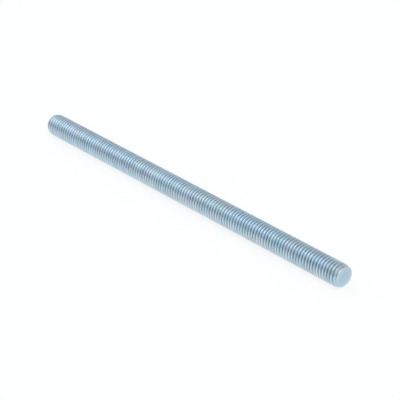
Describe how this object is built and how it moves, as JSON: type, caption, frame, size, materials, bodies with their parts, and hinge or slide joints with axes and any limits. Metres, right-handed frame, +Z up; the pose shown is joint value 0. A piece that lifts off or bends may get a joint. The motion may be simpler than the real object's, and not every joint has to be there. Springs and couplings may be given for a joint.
{
  "type": "threaded rod",
  "caption": "Straight steel rod threaded along its whole length, with a right-hand metric thread and bevelled ends, for nuts, couplers and clamps.",
  "frame": {"origin": "middle of the rod, on its axis", "axes": "+X along the rod's axis, +Z up as the rod lies on a table"},
  "size_m": [0.149, 0.008, 0.008],
  "materials": {
    "zinc_plated_steel": "blue-white zinc plate, lightly mottled, half bright"
  },
  "bodies": {
    "root": {"threaded_rod": "zinc_plated_steel"}
  },
  "joints": []
}
